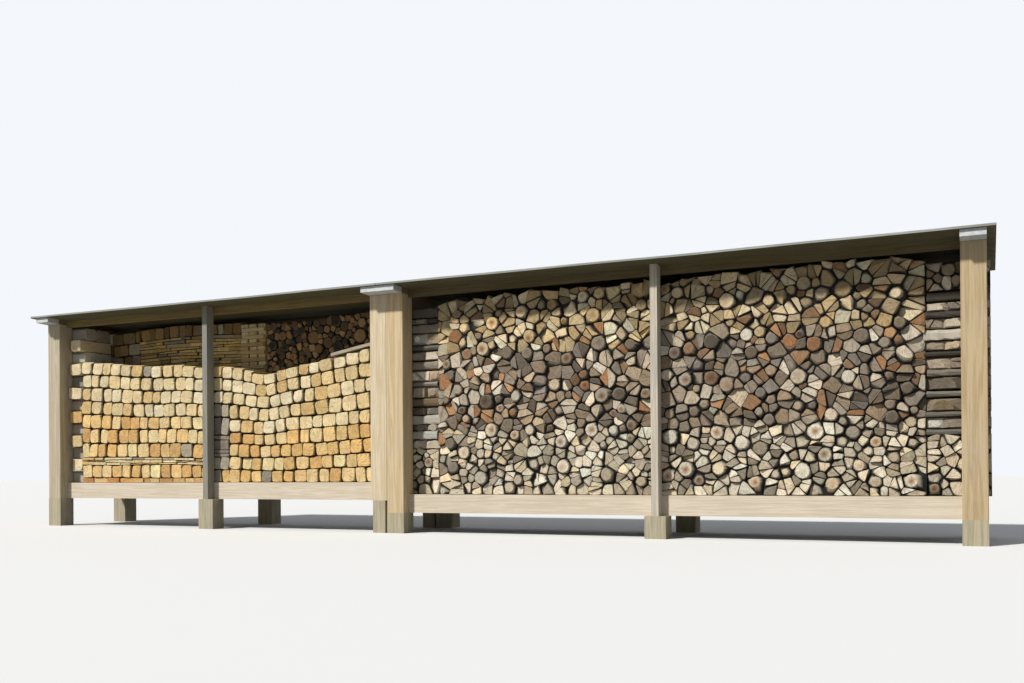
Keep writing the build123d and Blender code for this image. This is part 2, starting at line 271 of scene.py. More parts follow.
def sawn_end():
    # Sawn end grain: rings about the pith, radial drying cracks, a tone of its own for each log
    # and a darker heart in some, all dull and dry.
    made, add, grain, tone = new_log_material("sawn_end_grain")
    place = add("TexCoord").outputs["Object"]
    distance = add("VectorMath LENGTH", {}, grain).outputs["Value"]
    wobble = add("TexNoise", {"Scale": 28, "Detail": 2}, place)
    shifted = add("Math MULTIPLY_ADD", {1: 0.012}, {0: wobble, 2: distance})
    turns = add("Math MULTIPLY", {1: 2 * pi * 1000 / RING_SPACING_MM}, shifted)
    rings = add("Math SINE", {}, turns)
    ring_shade = add("MapRange", {"To": (1, 0.86)}, rings)
    split = add("SeparateXYZ", {}, grain)
    angle = add("Math ARCTAN2", {}, {0: split.outputs["Y"], 1: split.outputs["X"]})
    spoke = add("CombineXYZ", {}, {0: angle, 1: distance})
    seeded = add("VectorMath MULTIPLY_ADD", {1: (2.2, 3, 1)}, {0: spoke, 2: tone.outputs["Vector"]})
    cracks = add("TexNoise", {"Scale": 2.4, "Detail": 3, "Roughness": 0.6}, seeded)
    beside = add("Math SUBTRACT", {1: 0.5}, cracks)
    away = add("Math ABSOLUTE", {}, beside)
    crack_line = add("MapRange", {"From": (0, 0.03), "To": (0.4, 1)}, away)
    stain = add("TexNoise", {"Scale": 55, "Detail": 5, "Roughness": 0.7}, place)
    grey = add("TexNoise", {"Scale": 11, "Detail": 3, "Roughness": 0.6}, place)
    grey_share = add("MapRange", {"From": (0.48, 0.72), "To": (0, 0.25)}, grey)
    stain_shade = add("MapRange", {"From": (0.25, 0.75), "To": (0.78, 1.16)}, stain)
    lined = add("Math MULTIPLY", {}, {0: ring_shade, 1: crack_line})
    shade = add("Math MULTIPLY", {}, {0: lined, 1: stain_shade})
    own_heart = add("Attribute", {"attribute_name": "heart"})
    heart = add("MapRange", {"From": (0.012, 0.045), "To": (1, 0)}, shifted)
    heart_share = add("Math MULTIPLY", {}, {0: heart, 1: own_heart.outputs["Fac"]})
    hearted = add("Mix RGBA", {"blend_type": "MULTIPLY", 7: linear("#AC7C56")}, {0: heart_share, 6: tone})
    greyed = add("Mix RGBA", {7: linear("#8E867A")}, {0: grey_share, 6: hearted.outputs[2]})
    colour = add("VectorMath SCALE", {}, {0: greyed.outputs[2], "Scale": shade})
    finish_material(add, colour, shade, 0.85, 2)
    return made


def new_log_side(name, stretch, scale, detail, roughness):
    # Torn lines run along the log, and its sides are painted darker deep in the stack, as shade in the
    # gaps between the logs
    made, add, grain, tone = new_log_material(name)
    drawn = add("Mapping", {"Scale": (1, stretch, 1)}, grain)
    torn = add("TexNoise", {"Scale": scale, "Detail": detail, "Roughness": roughness}, drawn)
    gap_shade = add("MapRange", {"From": (0.45, 0.95), "To": (0.02, 0.85)}, tone.outputs["Alpha"])
    return made, add, tone, torn, gap_shade


def bark():
    # Bark and weathered split faces: furrows run along the log, dark brown with grey lichen.
    made, add, tone, furrows, gap_shade = new_log_side("dry_bark", 0.12, 160, 5, 0.7)
    worn = add("ValToRGB", {}, furrows)
    set_ramp(worn, (0.35, "#6B6052"), (0.68, "#A39A8B"))
    mixed = add("Mix RGBA", {0: 0.5}, {6: worn, 7: tone})
    colour = add("VectorMath SCALE", {}, {0: mixed.outputs[2], "Scale": gap_shade})
    finish_material(add, colour, furrows, 0.95, 3)
    return made


def split_face():
    # Split or sawn sides of clean wood: long torn fibres in the log's own tone.
    made, add, tone, fibres, gap_shade = new_log_side("split_side", 0.05, 220, 4, 0.65)
    lines = add("MapRange", {"From": (0.3, 0.7), "To": (0.6, 1.05)}, fibres)
    shade = add("Math MULTIPLY", {}, {0: gap_shade, 1: lines})
    colour = add("VectorMath SCALE", {}, {0: tone, "Scale": shade})
    finish_material(add, colour, fibres, 0.85, 2)
    return made


END_FACE, BARK_SIDE, SPLIT_SIDE = 0, 1, 2
log_materials = (sawn_end(), bark(), split_face())


def middle_of(outline):
    return sum(outline, Vector((0, 0))) / len(outline)


def shrink(outline, scale):
    middle = middle_of(outline)
    return [middle + (point - middle) * scale for point in outline]


def inset(outline, gap):
    # Moves every side of a convex outline, drawn anticlockwise, inwards by gap
    moved = []
    for index, corner in enumerate(outline):
        before = (corner - outline[index - 1]).normalized()
        after = (outline[(index + 1) % len(outline)] - corner).normalized()
        normal = Vector((-before.y, before.x))
        both = normal + Vector((-after.y, after.x))
        moved.append(corner + both * (gap / max(0.25, both.dot(normal))))
    return moved


def soften(outline, radii, steps):
    # Rounds each corner that has steps, reaching along both its sides by its own radius
    softened = []
    for index, (corner, radius, count) in enumerate(zip(outline, radii, steps)):
        if not count:
            softened.append(corner)
            continue
        before = outline[index - 1] - corner
        after = outline[(index + 1) % len(outline)] - corner
        first = corner + before.normalized() * min(radius, before.length * 0.48)
        last = corner + after.normalized() * min(radius, after.length * 0.48)
        for step in range(count + 1):
            share = step / count
            softened.append(first * (1 - share) ** 2 + corner * 2 * share * (1 - share) + last * share ** 2)
    return softened


class Pile:
    """The logs that stand in for one node: they become one mesh, in a row with two faces."""

    def __init__(self, seed, node):
        self.rng = random.Random(seed)
        self.node = node
        self.low, self.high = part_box(node)
        self.row = (self.low[1], self.high[1])
        self.points, self.faces, self.kinds, self.tones, self.hearts, self.grain = [], [], [], [], [], []

    def ends(self, usual, spread, most):
        # The ends of a log lie some way behind the two faces of its row
        ahead, behind = [min(most, abs(self.rng.gauss(usual, spread))) for _ in range(2)]
        return self.row[0] + ahead, self.row[1] - behind

    def add_log(self, outline, near, far, tone, pith, side, axis="Y", tilt=0.03, heart=0, cell=None,
                top=None, bumps=0):
        # A cell is the room that the log fills between its neighbours, from CLOSE_DEPTH behind the
        # faces of its row on, so that gaps are deep but closed. A tone's alpha is 0 where a side
        # lies deep in a gap and 1 where it is bare to the light; the side materials paint shade from it
        rng = self.rng
        centre = middle_of(outline)
        lean = Vector((rng.uniform(-tilt, tilt), rng.uniform(-tilt, tilt)))
        count = len(outline)
        size = max((point - centre).length for point in outline)
        barked = side == BARK_SIDE
        nipped = shrink(outline, max(0.6, 1 - (BARK_NIP if barked else FACE_NIP) / size))
        reach = max(abs((point - centre).dot(lean)) for point in outline)
        near, far = near + reach, far - reach
        loops = [(nipped, near, 1, END_FACE), (outline, near + FACE_NIP, 1, side if barked else END_FACE)]
        if cell:
            loops += [(cell, self.row[0] + CLOSE_DEPTH, 0, side), (cell, self.row[1] - CLOSE_DEPTH, 0, side)]
        for bump in range(bumps):
            swell = rng.uniform(0.84, 1)
            girths = [centre + (point - centre) * swell * rng.uniform(0.9, 1) for point in outline]
            loops.append((girths, near + (far - near) * (bump + 1) / (bumps + 1), 1, side))
        loops += [(outline, far - FACE_NIP, -1, side), (nipped, far, -1, END_FACE)]
        first = len(self.points)
        for loop, depth, leaning, _ in loops:
            for point in loop:
                along = depth + (point - centre).dot(lean) * leaning
                lit = leaning or not top or point.y > top(point.x) - BARE_DEPTH
                self.points.append((point.x, along, point.y) if axis == "Y" else (along, point.x, point.y))
                self.tones.append((*tone, 1 if lit else 0))
                self.hearts.append(heart)
        girth = [0]
        for index in range(count):
            girth.append(girth[-1] + (outline[(index + 1) % count] - outline[index]).length)
        faces = [([first + index for index in range(count)], [point - pith for point in nipped], END_FACE)]
        for inner, outer in zip(loops, loops[1:]):
            for index in range(count):
                after = (index + 1) % count
                around = ((index + 1, inner), (index, inner), (index, outer), (index + 1, outer))
                if outer[3] == END_FACE:
                    marks = [loop[0][at % count] - pith for at, loop in around]
                else:
                    marks = [Vector((girth[at], loop[1])) for at, loop in around]
                faces.append(([first + after, first + index, first + count + index, first + count + after],
                              marks, outer[3]))
            first += count
        faces.append(([first + index for index in reversed(range(count))],
                      [point - pith for point in reversed(nipped)], END_FACE))
        turn = -1 if axis == "X" else 1
        for corners, marks, kind in faces:
            self.faces.append(corners[::turn])
            self.grain.extend(marks[::turn])
            self.kinds.append(kind)

    def build(self):
        name = self.node.removesuffix("_stack") + "_logs"
        mesh = bpy.data.meshes.new(name)
        mesh.from_pydata(self.points, [], self.faces)
        for material in log_materials:
            mesh.materials.append(material)
        mesh.polygons.foreach_set("material_index", self.kinds)
        layer = mesh.uv_layers.new(name="grain")
        layer.data.foreach_set("uv", [value for mark in self.grain for value in mark])
        tones = mesh.color_attributes.new("tone", "FLOAT_COLOR", "POINT")
        tones.data.foreach_set("color", [value for tone in self.tones for value in tone])
        mesh.attributes.new("heart", "FLOAT", "POINT").data.foreach_set("value", self.hearts)
        mesh.update()
        piece = bpy.data.objects.new(name, mesh)
        bpy.context.collection.objects.link(piece)
        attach(piece, "root")
        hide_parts(self.node)


# Squared blocks: the two low front stacks on the left, sawn from young pine in courses that sag
# with the stack. They are honey yellow, paler when fresh, and a few have gone grey.
BLOCK_TONES = "#E6D0A0 #EFDCB2 #DCC18C #F4E4BE #EAD5A6 #D8B97E #F0DEB4 #E1C793".split()
HONEY_TONES = "#E8C688 #F1D298 #DCB573 #F3DEA6 #E4BC79 #EFD29B #DAAE6D".split()
BOARD_TONES = "#C99B5E #D7AE70 #C78E55 #D9B880".split()
GREY_TONES = "#9C9484 #B0A793 #8A8274".split()
PALEST = 0.88             # linear, and no fresh wood is paler
NEAREST_CORNERS = 0.009
BAY_1_TOPS = (1210, 1185, 1150, 1120, 1115, 1060)
BAY_2_TOPS = (1100, 1060, 985, 1045, 1076, 1128, 1180)
BAY_1_JOINTS = (0, 0.04, 0.15, 0.17, 0.19, 0.21, 0.33, 0.45, 0.56, 0.67, 0.78, 0.89, 1)
BAY_2_JOINTS = (0, 0.11, 0.22, 0.33, 0.44, 0.55, 0.67, 0.78, 0.89, 1)
# Each kind of course has its widths, share of grey pieces, tones and rounding of the corners
BLOCK = ((0.104, 0.148), 0.015, BLOCK_TONES, (0.15, 0.42))
HONEY_BLOCK = ((0.104, 0.148), 0.03, HONEY_TONES, (0.08, 0.36))
SLAT = ((0.07, 0.22), 0.06, BLOCK_TONES, (0.04, 0.12))
EDGE_BOARD = ((0.08, 0.20), 0, BOARD_TONES, (0.04, 0.1))
left_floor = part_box("left_frame_front_rail")[1][2]


def pick_tone(rng, colours, spread):
    tone = linear(rng.choice(colours))
    light = 1 + rng.uniform(-spread, spread)
    warm = 1 + rng.uniform(-1, 1) * min(0.05, spread * 0.25)
    varied = [tone[0] * light * warm, tone[1] * light, tone[2] * light / warm]
    return [part * min(1, PALEST / max(varied)) for part in varied]


def top_line(pile, base, rises):
    # The uneven top of a stack, from its rises over the base in millimetres, at even steps
    tops = [base + rise / 1000 for rise in rises]
    step = (pile.high[0] - pile.low[0]) / (len(tops) - 1)

    def height(x):
        place = min(max((x - pile.low[0]) / step, 0), len(tops) - 1.001)
        index = int(place)
        return tops[index] + (tops[index + 1] - tops[index]) * (place - index)

    return height


def clip(outline, way, limit):
    # The part of a convex outline that reaches no further than limit along way
    kept = []
    for index, point in enumerate(outline):
        before = outline[index - 1]
        here, there = point.dot(way) - limit, before.dot(way) - limit
        if (here <= 0) != (there <= 0):
            kept.append(before + (point - before) * (there / (there - here)))
        if here <= 0:
            kept.append(point)
    return kept


def sides_of(room):
    for index, corner in enumerate(room):
        side = corner - room[index - 1]
        yield corner, Vector((side.y, -side.x))


def spread(outline, room):
    # The loop round a convex room whose points lie straight outside those of the outline in it,
    # apart from those that move to the corners of the room
    middle = middle_of(outline)
    spots = []
    for point in outline:
        way = (point - middle).normalized()
        reach = 9
        for corner, outward in sides_of(room):
            normal = outward.normalized()
            if way.dot(normal) > 0.05:
                reach = min(reach, (corner - middle).dot(normal) / way.dot(normal))
        spots.append(middle + way * max(reach, (point - middle).length))
    for corner in room:
        spots[min(range(len(spots)), key=lambda index: (spots[index] - corner).length)] = corner
    return spots


def join_near(outline):
    # Joins each two corners that are too close to each other
    index = 0
    while index < len(outline) and len(outline) > 3:
        if (outline[index] - outline[index - 1]).length < NEAREST_CORNERS:
            outline[index - 1] = (outline[index] + outline[index - 1]) / 2
            del outline[index]
        else:
            index += 1
    return outline


def lay_block(pile, room, near, far, tone, gap, rounding, axis="Y", top=None, askew=0):
    # A block is squared even where its course rises, so that it lies askew in its room
    rng = pile.rng
    width = (room[1] - room[0]).length
    height = (room[3].y - room[0].y + room[2].y - room[1].y) / 2
    turn = 0.7 * atan2(room[1].y - room[0].y, width) + rng.gauss(0, askew)
    wide = Vector((cos(turn), sin(turn))) * width / 2 * (1 - rng.uniform(0, askew))
    tall = Vector((-sin(turn), cos(turn))) * height / 2 * (1 - rng.uniform(0, askew))
    middle = middle_of(room) - Vector((0, height * rng.uniform(0, askew) * 0.3))
    squared = [middle - wide - tall, middle + wide - tall, middle + wide + tall, middle - wide + tall]
    for corner, outward in sides_of(room):
        squared = clip(squared, outward, corner.dot(outward))
    squared = inset(join_near(squared), gap)
    radii = [height * rng.uniform(*rounding) for _ in squared]
    outline = soften(squared, radii, [2 if askew else 1] * len(squared))
    pith = middle_of(outline) + Vector((rng.gauss(0, 0.03), rng.gauss(0, 0.03)))
    pile.add_log(outline, near, far, tone, pith, SPLIT_SIDE, axis=axis, tilt=0.06, heart=rng.uniform(0, 0.25),
                 cell=spread(outline, room) if top else None, top=top)


def lay_courses(pile, left, right, top, joints, kinds):
    # Courses lie between the joints, which are shares of the height from the floor to the top
    rng = pile.rng
    swings = [0, *(rng.uniform(0.002, 0.009) for _ in kinds[1:]), 0]
    waves = [rng.uniform(0, 6.28) for _ in swings]

    def joint_at(x, number):
        sway = swings[number] * sin(x * 4 + waves[number])
        return Vector((x, left_floor + (top(x) - left_floor) * joints[number] + sway))

    for number, (widths, grey_share, tones, rounding) in enumerate(kinds):
        x = left
        while x < right - 0.02:
            end = x + rng.uniform(*widths)
            if right - end < widths[0] * 0.6:
                end = right
            room = [joint_at(x, number), joint_at(end, number),
                    joint_at(end, number + 1), joint_at(x, number + 1)]
            thick = room[3].y - room[0].y > 0.06
            if joints[number + 1] == 1:
                tilted = (room[2].y - room[3].y) * 0.25
                drop = abs(tilted) + rng.uniform(0.001, 0.014)
                room[2].y -= tilted + drop
                room[3].y += tilted - drop
            tone = pick_tone(rng, GREY_TONES if rng.random() < grey_share else tones, 0.12)
            near, far = pile.ends(0, 0.010, 0.035)
            lay_block(pile, room, near, far, tone, rng.uniform(0.0015, 0.0065) if thick else 0.003, rounding,
                      top=top, askew=0.075 if thick else 0)
            x = end


pile = Pile(21, "bay_1_front_stack")
lay_courses(pile, pile.low[0], pile.high[0], top_line(pile, left_floor, BAY_1_TOPS), BAY_1_JOINTS,
            [EDGE_BOARD, HONEY_BLOCK] + [SLAT] * 3 + [HONEY_BLOCK] * 3 + [BLOCK] * 4)
pile.build()

# Grey offcuts fill the left end of the second stack, up to two thirds of its height.
GREY_WIDTH = 0.19
GREY_JOINTS = (0, 0.11, 0.22, 0.25, 0.28, 0.36, 0.40, 0.55, 0.67)
GREY_BLOCK = ((0.08, 0.11), 0.8, HONEY_TONES, (0.05, 0.2))
GREY_BOARD = ((0.15, 0.19), 0.9, HONEY_TONES, (0.05, 0.1))
pile = Pile(22, "bay_2_front_stack")
left, right = pile.low[0], pile.high[0]
top = top_line(pile, left_floor, BAY_2_TOPS)
lay_courses(pile, left, left + GREY_WIDTH, top, GREY_JOINTS,
            [GREY_BLOCK] * 2 + [GREY_BOARD] * 4 + [GREY_BLOCK] * 2)
lay_courses(pile, left + GREY_WIDTH, right, top, BAY_2_JOINTS[:7], [HONEY_BLOCK] * 4 + [BLOCK] * 2)
lay_courses(pile, left, right, top, BAY_2_JOINTS[6:], [BLOCK] * 3)
pile.build()

# Split firewood: the full stacks on the right. Wedges, halves and quarters lie close together with
# rounds between them, yellowish at the top, grey and brown half way up and pale at the foot.
TOP_TONES = "#E5D1AA #D7C093 #B49E76 #EAD9B4 #CCB082 #96876D #F3EBC9 #D6C19B #BFA577".split()
MIDDLE_TONES = "#9B8E7C #80705D #AB9D8B #BFAD93 #6D6151 #CFC2AC #E1D4BF #887E72 #A48F74".split()
FOOT_TONES = "#DACDB5 #EBDFC9 #C3B8A3 #F3ECD7 #B0A490 #CDC2A8 #978C78 #E4D2B0".split()
RUSTY_TONES = "#A8784F #977352 #BA8B5E #85664A".split()
TOP_FROM = 1.5
MIDDLE_FROM = 0.85
LOG_ROOM = 0.0103         # square metres of the face of a stack for each log before it is split
ROOM_REACH = 0.13         # the logs that bound a room are nearer than this
HALVED_SHARE = 0.68
SMALLEST_HALVED = 0.006
SMALLEST_LOG = 0.0002
SMALL_LOG = 0.0018        # it stands further back than the others
CRIB_SETBACK = 0.064      # the face of a stack falls back to that of the crib beside it
SETBACK_REACH = 0.22
PROUD_PITCH = 0.31        # the biggest rounds stand proud, about this far apart
ROUND_CORNERS = 12
SCATTERED_RADII = (0.022, 0.027, 0.032, 0.040, 0.047)
right_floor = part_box("right_frame_front_rail")[1][2]
full_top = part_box("right_frame_front_eaves_beam")[0][2] - 0.008
back_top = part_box("bay_1_back_stack")[1][2] + 0.010


def split_tone(rng, height, shade):
    tones, rusty_share = ((TOP_TONES, 0.05) if height > TOP_FROM else (MIDDLE_TONES, 0.09)
                          if height > MIDDLE_FROM else (FOOT_TONES, 0.01))
    tone = pick_tone(rng, RUSTY_TONES if rng.random() < rusty_share else tones, 0.36)
    return [part * shade for part in tone] if height > MIDDLE_FROM else tone


def proud_rounds(left, right, floor, top, phase):
    columns = int((right - left) / PROUD_PITCH)
    rows = int((top - floor) / PROUD_PITCH)
    places = []
    for column in range(columns):
        for row in range(rows):
            sway_x = 0.2 * sin(5.1 * column + 3.7 * row + phase)
            sway_z = 0.2 * cos(4.3 * column + 2.9 * row + phase)
            x = left + (right - left) * (column + 0.5 + sway_x) / columns
            z = floor + (top - floor) * (row + 0.5 + sway_z) / rows
            radius = 0.046 + 0.010 * sin(2.3 * column + 5.9 * row + phase)
            places.append((Vector((x, z)), radius, "proud"))
    return places


def squares_at(place, steps=(0,)):
    column, line = int(place.x / ROOM_REACH + 500), int(place.y / ROOM_REACH + 500)
    return [(column + i, line + j) for i in steps for j in steps]


def near_logs(grid, place):
    return [other for square in squares_at(place, (-1, 0, 1)) for other in grid.get(square, ())]


def note_logs(grid, logs):
    for log in logs:
        grid.setdefault(squares_at(log[0])[0], []).append(log)
    return grid


def pack_logs(rng, logs, area, radii, kind, spacing, tries=50):
    # Finds places for logs of these radii, the largest first, where none overlap. No big split
    # logs lie at the foot of a stack
    left, right, floor, top = area
    grid = note_logs({}, logs)
    for radius in sorted(radii, reverse=True):
        for _ in range(tries):
            x = rng.uniform(left + radius, right - radius)
            place = Vector((x, rng.uniform(floor + radius, top(x) - radius)))
            if radius > 0.036 and kind == "split" and place.y < floor + 0.55:
                continue
            if all((place - other).length > (radius + reach) * spacing
                   for other, reach, _ in near_logs(grid, place)):
                logs.append((place, radius, kind))
                note_logs(grid, logs[-1:])
                break
    return logs


def rooms_of(rng, logs, area):
    # Shares the face of a stack among its logs: straight lines half way to the logs around it
    # bound each room
    left, right, floor, top = area
    grid = note_logs({}, logs)
    rooms = []
    for place, radius, _ in logs:
        rise = (top(place.x + 0.03) - top(place.x - 0.03)) / 0.06
        room = [place + Vector(corner) * ROOM_REACH for corner in ((-1, -1), (1, -1), (1, 1), (-1, 1))]
        room = clip(room, Vector((0, -1)), -floor)
        room = clip(clip(room, Vector((-1, 0)), -left), Vector((1, 0)), right)
        rise += rng.gauss(0, 0.2)
        room = clip(room, Vector((-rise, 1)), top(place.x) - rng.uniform(0, 0.025) - rise * place.x)
        for other, reach, _ in near_logs(grid, place):
            if other != place:
                limit = other.length_squared - place.length_squared - reach ** 2 + radius ** 2
                room = clip(room, (other - place) * 2, limit)
        rooms.append(join_near(room))
    return rooms


def halve(rng, room, level):
    # Cuts a room in two through its middle, more or less level
    angle = pi / 2 + rng.gauss(0, level)
    way = Vector((cos(angle), sin(angle)))
    limit = middle_of(room).dot(way) + rng.uniform(-0.008, 0.008)
    return [join_near(clip(room, way, limit)), join_near(clip(room, -way, -limit))]


def area_of(outline):
    return sum(point.x * outline[index - 1].y - outline[index - 1].x * point.y
               for index, point in enumerate(outline)) / -2


def split_log(rng, room, corner_counts=(3, 3, 4, 4, 5)):
    # A wedge, half or quarter of a log keeps a few corners of its room. Its bark side bulges out to
    # the corners that the log leaves free, and its split sides are nearly flat
    count = len(room)
    kept = list(range(count))
    wanted = rng.choice(corner_counts)
    while len(kept) > wanted:
        losses = [area_of([room[kept[place - 1]], room[kept[place]], room[kept[(place + 1) % len(kept)]]])
                  * rng.uniform(0.5, 1.5) for place in range(len(kept))]
        kept.pop(losses.index(min(losses)))
    sides = list(zip(kept, kept[1:] + kept[:1]))
    bulges = [((end - start) % count) * (room[end] - room[start]).length * rng.uniform(0.7, 1.3)
              for start, end in sides]
    bark_start, bark_end = sides[bulges.index(max(bulges))]
    has_bark = rng.random() < 0.75
    cut = list(room)
    steps = [1] * count
    radii = [rng.uniform(0.002, 0.009) for _ in cut]
    for start, end in sides:
        bulging = has_bark and start == bark_start
        way = (room[end] - room[start]).normalized()
        lift = rng.uniform(0.5, 0.85) if bulging else rng.uniform(0, 0.1)
        for step in range(1, (end - start) % count):
            index = (start + step) % count
            foot = room[start] + way * (room[index] - room[start]).dot(way)
            cut[index] = foot + (room[index] - foot) * lift
            steps[index] = 2 if bulging else 0
            radii[index] = 0.05
    if has_bark:
        for corner in (bark_start, bark_end):
            radii[corner] = (room[bark_end] - room[bark_start]).length * rng.uniform(0.15, 0.4)
            steps[corner] = 2
    cut = inset(cut, rng.uniform(0.0004, 0.0026))
    centre = middle_of(cut)
    turned = Matrix.Rotation(rng.gauss(0, 0.04), 2)
    shrunk = rng.choice((1, 1, 0.97, 0.93, 0.86))
    cut = [centre + turned @ ((point - centre) * shrunk) for point in cut]
    chord = (room[bark_end] - room[bark_start]).normalized()
    pith = max((room[index] for index in kept), key=lambda point: abs((point - room[bark_start]).cross(chord)))
    cell = soften(room, [0.0005] * count, steps)
    return soften(cut, radii, steps), cell, pith, BARK_SIDE if has_bark else SPLIT_SIDE


def round_log(rng, middle, radius):
    squash = rng.uniform(0, 0.07)
    phase = rng.uniform(0, 6.28)
    outline = []
    for index in range(ROUND_CORNERS):
        angle = 2 * pi * index / ROUND_CORNERS
        reach = radius * (0.98 - squash * (0.5 + 0.5 * cos(2 * angle + phase)))
        outline.append(middle + Vector((cos(angle), sin(angle))) * reach)
    return outline


def lay_split(pile, area, rounds, tone_at, room_size=LOG_ROOM, halved=HALVED_SHARE, crib_at=None):
    # Fills the face between the rounds with split logs
    rng = pile.rng
    left, right, floor, top = area
    face, back = pile.row
    number = int((right - left) * (top((left + right) / 2) - floor) / room_size)
    sizes = [sqrt(room_size) * rng.uniform(0.24, 0.54) for _ in range(number)]
    logs = pack_logs(rng, rounds, area, sizes, "split", 0.97)
    pack_logs(rng, logs, area, [0.016] * (number // 4), "split", 0.95, 30)
    for (place, radius, kind), room in zip(logs, rooms_of(rng, logs, area)):
        if crib_at is not None:
            pile.row = (face + CRIB_SETBACK * max(0, 1 - abs(place.x - crib_at) / SETBACK_REACH), back)
        if kind == "split":
            level = 0.4 if place.y < floor + 0.6 else 0.9
            large = area_of(room) > SMALLEST_HALVED
            for part in halve(rng, room, level) if large and rng.random() < halved else [room]:
                if len(part) < 3 or area_of(part) < SMALLEST_LOG:
                    continue
                outline, cell, pith, side = split_log(rng, part)
                trim = rng.uniform(0, 0.006)
                for point in outline:
                    point.x = min(max(point.x, left + trim), right - trim)
                near, far = pile.ends(0.026 if area_of(part) < SMALL_LOG else 0.014, 0.012, 0.036)
                pile.add_log(outline, near, far, tone_at(place.y), pith, side, tilt=0.17,
                             heart=rng.choice((0, 0, 0, 0.5)), cell=cell, top=top)
        else:
            outline = round_log(rng, place, radius)
            near, far = pile.row if kind == "proud" else pile.ends(0.012, 0.012, 0.036)
            pith = place + Vector((rng.gauss(0, radius * 0.12), rng.gauss(0, radius * 0.12)))
            pile.add_log(outline, near, far, tone_at(place.y), pith, BARK_SIDE, tilt=0.08,
                         heart=rng.choice((0, 0, 0.2, 0.4, 0.9)), cell=spread(outline, room), top=top)


def split_stack(seed, node, base, rises, phase, scattered, shade=1, crib_at=None):
    pile = Pile(seed, node)
    rng, left, right = pile.rng, pile.low[0], pile.high[0]
    area = (left, right, right_floor, top_line(pile, base, rises))
    rounds = proud_rounds(left, right, right_floor, base + min(rises) / 1000, phase)
    radii = [rng.choice(SCATTERED_RADII) * rng.uniform(0.9, 1.1) for _ in range(scattered)]
    pack_logs(rng, rounds, area, radii, "round", 1.2)
    lay_split(pile, area, rounds, lambda z: split_tone(rng, z, shade), crib_at=crib_at)
    pile.build()


split_stack(31, "bay_3_front_stack", full_top, (-30, -40, -10, -20, -25, -5), 0, 40,
            crib_at=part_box("middle_crib")[1][0])
split_stack(32, "bay_4_front_stack", full_top, (-40, -10, -20, -5, 0, -15), 1, 60, 0.85,
            crib_at=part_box("right_end_crib")[0][0])
split_stack(33, "bay_3_back_stack", back_top, (-10, -35, -20, -30, -10), 4, 20)
split_stack(34, "bay_4_back_stack", back_top, (-15, -25, -5, -30, -20), 5, 20)

# Back row on the left: old sheltered wood behind the low stacks, its brown tones darkened as painted
# shade under the roof. From the left there are blocks, thin slats under small blocks, a tower of
# crossed boards and then small rounds of all sizes, the darkest of them painted shade deep in the row.
SHELTERED_SHADE_TONES = "#A08355 #8D7247 #B2935F #9A8262 #7D6844".split()
SLAT_TONES = "#DABD7B #C4A868 #ECD08A #D2BC8C #AA9766".split()
# The darkest round tones are painted shade for rounds that lie deep in the row
ROUND_TONES_AND_SHADE = "#B9986A #A98A5C #94774E #7C6443 #5E4C36 #463A2C #2F2820".split()
BACK_BLOCK = ((0.10, 0.16), 0.15, SHELTERED_SHADE_TONES, (0.08, 0.3))
SMALL_BLOCK = ((0.07, 0.13), 0.15, SHELTERED_SHADE_TONES, (0.08, 0.3))
BACK_SLAT = ((0.09, 0.30), 0.1, SLAT_TONES, (0.04, 0.12))
BLOCKS_WIDTH = 0.37
TOWER_WIDTH = 0.3
TOWER_LAYER = 0.036
ROUND_RADII = [0.062] * 6 + [0.05] * 14 + [0.042] * 26 + [0.034] * 40 + [0.027] * 50 + [0.02] * 60


def even(count, first=0, last=1):
    return [first + (last - first) * number / count for number in range(count + 1)]


def room_of(left, right, foot, head):
    return [Vector(corner) for corner in ((left, foot), (right, foot), (right, head), (left, head))]


pile = Pile(35, "bay_1_back_stack")
left, right = pile.low[0], pile.high[0]
top = top_line(pile, back_top, (-50, -25, -10, -15, -30))
lay_courses(pile, left, left + BLOCKS_WIDTH, top, even(12), [BACK_BLOCK] * 12)
lay_courses(pile, left + BLOCKS_WIDTH, right, top, even(8, 0, 0.64) + even(14, 0.64, 0.92)[1:] + [1],
            [BACK_BLOCK] * 8 + [BACK_SLAT] * 14 + [SMALL_BLOCK])
pile.build()

pile = Pile(36, "bay_2_back_stack")
rng, low, high = pile.rng, pile.low, pile.high
top = top_line(pile, back_top, (-20, -70, -60, -25, -5))
tower_to = low[0] + TOWER_WIDTH
for layer in range(int((top(tower_to) - left_floor) / TOWER_LAYER)):
    z = left_floor + layer * TOWER_LAYER
    start, step = (low[0], 0.1) if layer % 2 else (low[1], 0.118)
    for place in range(3):
        first = start + step * place
        room = room_of(first, first + step - 0.015, z, z + TOWER_LAYER)
        tone = pick_tone(rng, BLOCK_TONES, 0.15)
        near, far = ((low[1] + rng.uniform(0, 0.02), high[1] - 0.004) if layer % 2
                     else (low[0] + rng.uniform(0, 0.01), tower_to - rng.uniform(0.01, 0.03)))
        lay_block(pile, room, near, far, tone, 0.001, (0.04, 0.12), axis="XY"[layer % 2])
area = (tower_to, high[0], left_floor, top)
rounds = pack_logs(rng, [], area, ROUND_RADII, "round", 1.04, 120)
lay_split(pile, area, rounds, lambda z: pick_tone(rng, ROUND_TONES_AND_SHADE, 0.25), 0.004, 0)
pile.build()

# Left crib: two towers of squared blocks, each layer across the one below, from the floor up to
# the tie plank. Beside the post the ends of the blocks come forward to the face of the stack.
BLOCK_LAYERS = 13
# Greys painted paler than the wood, as light on logs that lie in the shadow of the post
PAINTED_LIGHT_GREY_TONES = "#D2CBBE #C0B8AA #A69E90 #DDD6C8".split()
TIE_CLEARANCE = 0.008
TOWER_GAP = 0.003         # each tower stands back this far from the middle of the depth


def shares(rng, first, extent, count):
    # Cuts an extent into pieces of uneven widths
    widths = [rng.uniform(0.7, 1.4) for _ in range(count)]
    ends = [first]
    for width in widths:
        ends.append(ends[-1] + extent * width / sum(widths))
    return list(zip(ends, ends[1:]))


